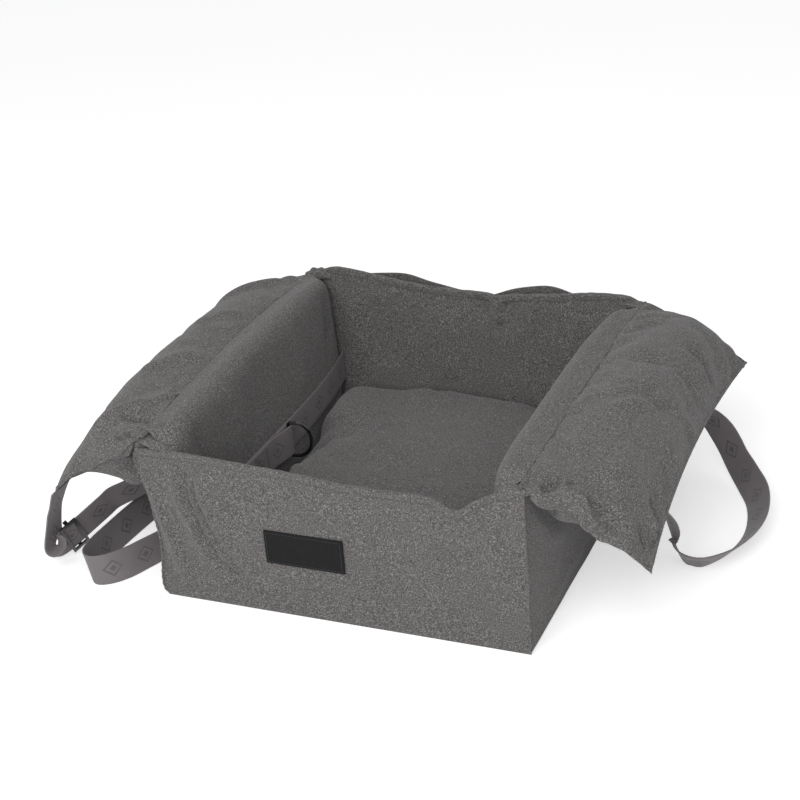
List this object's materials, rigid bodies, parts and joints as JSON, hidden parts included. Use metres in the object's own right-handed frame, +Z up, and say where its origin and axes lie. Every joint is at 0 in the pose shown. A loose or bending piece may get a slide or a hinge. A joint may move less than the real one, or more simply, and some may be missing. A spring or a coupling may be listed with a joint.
{
  "type": "dog car seat",
  "caption": "Soft box-shaped dog car seat with a bed cushion, side bolsters, fold-up side wings, tether D-ring, back pocket and belt loops.",
  "frame": {"origin": "centre of the underside of the floor, on the seat the part stands on", "axes": "+X along the front wall to the right, +Y to the back wall, +Z up"},
  "size_m": [0.8133, 0.5091, 0.2204],
  "materials": {
    "heather_cloth": "heathered mid-grey woven upholstery cloth",
    "base_cloth": "dark plain-woven base cloth",
    "side_foam": "grey padding foam, covered by cloth",
    "base_board": "black grained board",
    "webbing": "taupe-grey tightly woven webbing with a tonal pattern",
    "label_rubber": "matte black, bare",
    "ring_metal": "polished black",
    "slider_metal": "satin black"
  },
  "bodies": {
    "seat": {"bottom_cover": "base_cloth", "base_board": "base_board", "base_cushion": "heather_cloth", "front_wall": "heather_cloth", "front_hem": "heather_cloth", "back_wall": "heather_cloth", "back_hem": "heather_cloth", "left_side_cover": "heather_cloth", "right_side_cover": "heather_cloth", "left_side_foam": "side_foam", "right_side_foam": "side_foam", "left_bolster": "heather_cloth", "right_bolster": "heather_cloth", "left_crest_seam": "heather_cloth", "right_crest_seam": "heather_cloth", "front_left_corner_seam": "heather_cloth", "front_right_corner_seam": "heather_cloth", "back_left_corner_seam": "heather_cloth", "back_right_corner_seam": "heather_cloth", "back_pocket": "heather_cloth", "label_patch": "label_rubber", "tether_strap": "webbing", "ring_keeper": "webbing", "left_belt_loop": "webbing", "wing_strap": "webbing", "right_belt_loop": "webbing"},
    "left_wing": {"left_wing": "heather_cloth"},
    "right_wing": {"right_wing": "heather_cloth"},
    "tether_ring": {"d_ring": "ring_metal"},
    "slider": {"strap_slider": "slider_metal"}
  },
  "joints": [
    {"name": "left_wing_fold", "type": "hinge", "parent": "seat", "child": "left_wing", "pos_m": [-0.223, 0, 0.2083], "axis": [0, 1, 0], "range_deg": [0, 100]},
    {"name": "right_wing_fold", "type": "hinge", "parent": "seat", "child": "right_wing", "pos_m": [0.223, 0, 0.2083], "axis": [0, -1, 0], "range_deg": [0, 100]},
    {"name": "ring_swing", "type": "hinge", "parent": "seat", "child": "tether_ring", "pos_m": [-0.16867, 0.006, 0.08605], "axis": [-0.0072, 0, 1], "range_deg": [-55, 65]},
    {"name": "slider_shift", "type": "slide", "parent": "seat", "child": "slider", "axis": [0.4817, 0.7719, 0.415], "range_m": [0, 0.035]}
  ]
}
